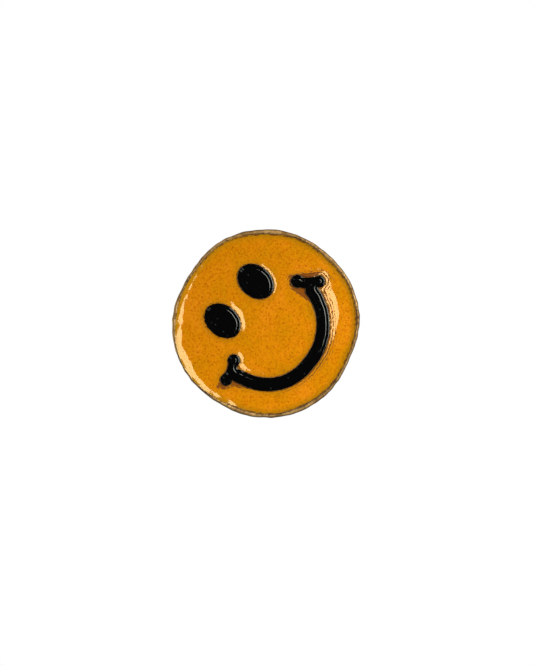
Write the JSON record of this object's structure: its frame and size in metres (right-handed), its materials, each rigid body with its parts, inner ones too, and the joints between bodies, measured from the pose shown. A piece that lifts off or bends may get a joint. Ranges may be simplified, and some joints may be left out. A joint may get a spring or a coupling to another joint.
{
  "type": "enamelled lapel badge",
  "caption": "Round struck-metal lapel badge with a yellow enamel smiling face, held through cloth by a tack post and a butterfly clutch.",
  "frame": {"origin": "centre of the badge's flat back, the face that lies against the cloth", "axes": "+Y along the post through the cloth, away from the face; +Z towards the top of the smiling face; the face looks along -Y"},
  "size_m": [0.02, 0.0097, 0.0197],
  "materials": {
    "struck_brass": "tarnished, hand filed",
    "yellow_enamel": "glossy resin enamel, finely speckled",
    "black_enamel": "glossy resin enamel, domed",
    "post_brass": "drawn, satin",
    "solder": "dull tin solder",
    "clutch_brass": "pressed and tumbled",
    "spring_steel": "drawn wire"
  },
  "bodies": {
    "badge": {"blank": "struck_brass", "field_enamel": "yellow_enamel", "left_eye_enamel": "black_enamel", "right_eye_enamel": "black_enamel", "mouth_enamel": "black_enamel", "post": "post_brass", "post_solder": "solder"},
    "clutch": {"clutch_dish": "clutch_brass"},
    "clutch_head": {"clutch_cover": "clutch_brass", "clutch_spring": "spring_steel"},
    "left_wing": {"wing_left": "clutch_brass"},
    "right_wing": {"wing_right": "clutch_brass"}
  },
  "joints": [
    {"name": "clutch_slide", "type": "slide", "parent": "badge", "child": "clutch", "axis": [0, 1, 0], "range_m": [0, 0.012], "deforming": ["clutch_spring"]},
    {"name": "clutch_spin", "type": "hinge", "parent": "clutch", "child": "clutch_head", "pos_m": [0, 0.0027, 0], "axis": [0, 1, 0], "continuous": true},
    {"name": "left_wing_squeeze", "type": "hinge", "parent": "clutch_head", "child": "left_wing", "pos_m": [-0.00275, 0.0041, 0], "axis": [0, 0, -1], "range_deg": [0, 10], "stiffness_Nm_per_rad": 0.02, "deforming": ["clutch_spring"]},
    {"name": "right_wing_squeeze", "type": "hinge", "parent": "clutch_head", "child": "right_wing", "pos_m": [0.00275, 0.0041, 0], "axis": [0, 0, 1], "range_deg": [0, 10], "deforming": ["clutch_spring"]}
  ],
  "couplings": [
    {"joint": "right_wing_squeeze", "follows": "left_wing_squeeze", "ratio": 1}
  ]
}
